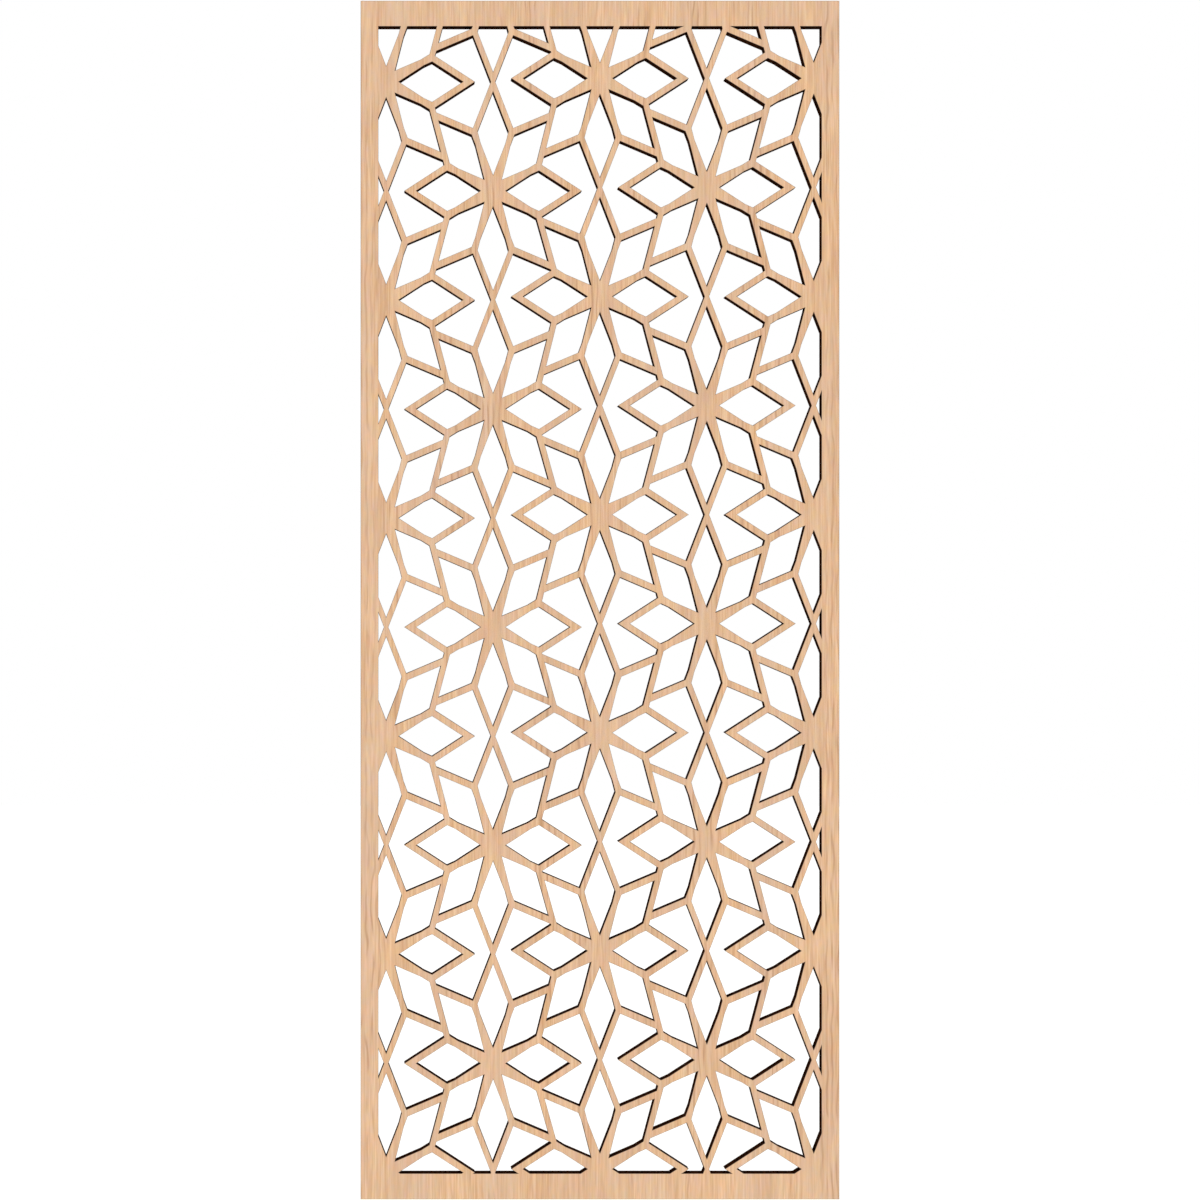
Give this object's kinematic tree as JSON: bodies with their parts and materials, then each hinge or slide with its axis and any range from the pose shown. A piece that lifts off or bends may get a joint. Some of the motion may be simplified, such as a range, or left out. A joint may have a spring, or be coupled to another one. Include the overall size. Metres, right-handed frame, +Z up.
{
  "type": "fretwork wall panel",
  "caption": "Flat wooden wall panel with a plain border round a pierced lattice of eight-pointed stars, fixed to a wall by its back.",
  "frame": {"origin": "on the back face, at the middle of the top rail, where the panel is fixed to its wall", "axes": "+X along the panel's width, +Y from the face to the back, into the wall, +Z up along its height"},
  "size_m": [0.5936, 0.0095, 1.4865],
  "materials": {
    "maple": "maple veneer with upright grain under a clear satin coat, and laser-cut edges charred nearly black"
  },
  "bodies": {
    "root": {"fretwork_panel": "maple"}
  },
  "joints": []
}
